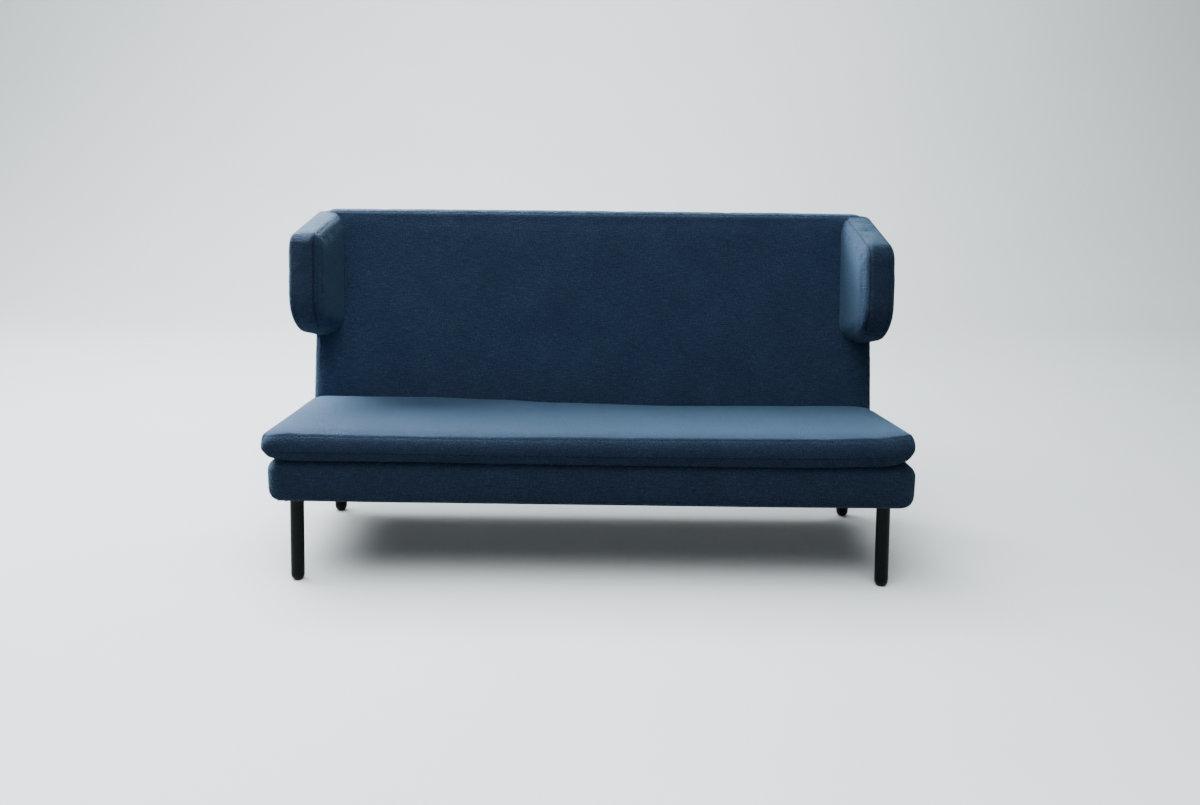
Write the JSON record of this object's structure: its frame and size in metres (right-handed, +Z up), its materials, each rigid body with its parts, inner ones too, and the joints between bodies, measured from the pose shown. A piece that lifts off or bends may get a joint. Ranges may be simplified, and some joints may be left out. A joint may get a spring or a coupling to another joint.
{
  "type": "lounge sofa",
  "caption": "Long upholstered lounge sofa with a high reclined back, short splayed wings at its upper corners, a loose zipped seat cushion on a sprung base, and slim round splayed legs.",
  "frame": {"origin": "on the floor, below the centre of the sofa's bounding box", "axes": "+Z up, +X along the width towards the right seen from the front, the sofa faces -Y"},
  "size_m": [1.9128, 0.8326, 1.0184],
  "materials": {
    "blue_wool_fabric": "woven melange wool upholstery, matte",
    "upholstery_foam": "open-cell upholstery foam, matte",
    "polyester_wadding": "soft polyester wadding, matte",
    "beech_timber": "planed beech, unfinished",
    "birch_plywood": "sanded birch plywood",
    "black_powder_coat": "satin black powder coat",
    "spring_steel": "drawn spring wire",
    "zinc_plated_steel": "bright zinc plate",
    "black_nylon": "moulded nylon, matte",
    "black_dust_cloth": "thin non-woven dust cloth",
    "elastic_webbing": "woven elastic webbing",
    "navy_zip_tape": "woven zip tape with teeth"
  },
  "bodies": {
    "sofa_frame": {"back_bottom_rail": "beech_timber", "back_bracket_1": "zinc_plated_steel", "back_bracket_2": "zinc_plated_steel", "back_bracket_3": "zinc_plated_steel", "back_centre_stile": "beech_timber", "back_cover": "blue_wool_fabric", "back_foam": "upholstery_foam", "back_rear_wadding": "polyester_wadding", "back_top_rail": "beech_timber", "back_webbing_1": "elastic_webbing", "back_webbing_2": "elastic_webbing", "back_webbing_3": "elastic_webbing", "back_webbing_4": "elastic_webbing", "back_webbing_5": "elastic_webbing", "base_cover": "blue_wool_fabric", "base_dust_cover": "black_dust_cloth", "base_foam": "upholstery_foam", "front_rail": "beech_timber", "left_back_stile": "beech_timber", "left_cross_rail": "beech_timber", "left_front_corner_block": "beech_timber", "left_front_leg_glide": "black_nylon", "left_front_leg_plate": "black_powder_coat", "left_front_leg_tube": "black_powder_coat", "left_rear_corner_block": "beech_timber", "left_rear_leg_glide": "black_nylon", "left_rear_leg_plate": "black_powder_coat", "left_rear_leg_tube": "black_powder_coat", "left_side_rail": "beech_timber", "left_wing_board": "birch_plywood", "left_wing_foam": "upholstery_foam", "rear_rail": "beech_timber", "right_back_stile": "beech_timber", "right_cross_rail": "beech_timber", "right_front_corner_block": "beech_timber", "right_front_leg_glide": "black_nylon", "right_front_leg_plate": "black_powder_coat", "right_front_leg_tube": "black_powder_coat", "right_rear_corner_block": "beech_timber", "right_rear_leg_glide": "black_nylon", "right_rear_leg_plate": "black_powder_coat", "right_rear_leg_tube": "black_powder_coat", "right_side_rail": "beech_timber", "right_wing_board": "birch_plywood", "right_wing_foam": "upholstery_foam", "seat_spring_1": "spring_steel", "seat_spring_2": "spring_steel", "seat_spring_3": "spring_steel", "seat_spring_4": "spring_steel", "seat_spring_5": "spring_steel", "seat_spring_6": "spring_steel"},
    "seat_cushion": {"cushion_cover": "blue_wool_fabric", "cushion_core": "upholstery_foam", "zip_tape": "navy_zip_tape"},
    "zip_slider": {"zip_slider": "zinc_plated_steel"}
  },
  "joints": [
    {"name": "seat_cushion_lift", "type": "slide", "parent": "sofa_frame", "child": "seat_cushion", "axis": [0, 0.0785, 0.9969], "range_m": [0, 0.15]},
    {"name": "zip_slider_run", "type": "slide", "parent": "seat_cushion", "child": "zip_slider", "axis": [1, 0, 0], "range_m": [0, 1.176]}
  ]
}
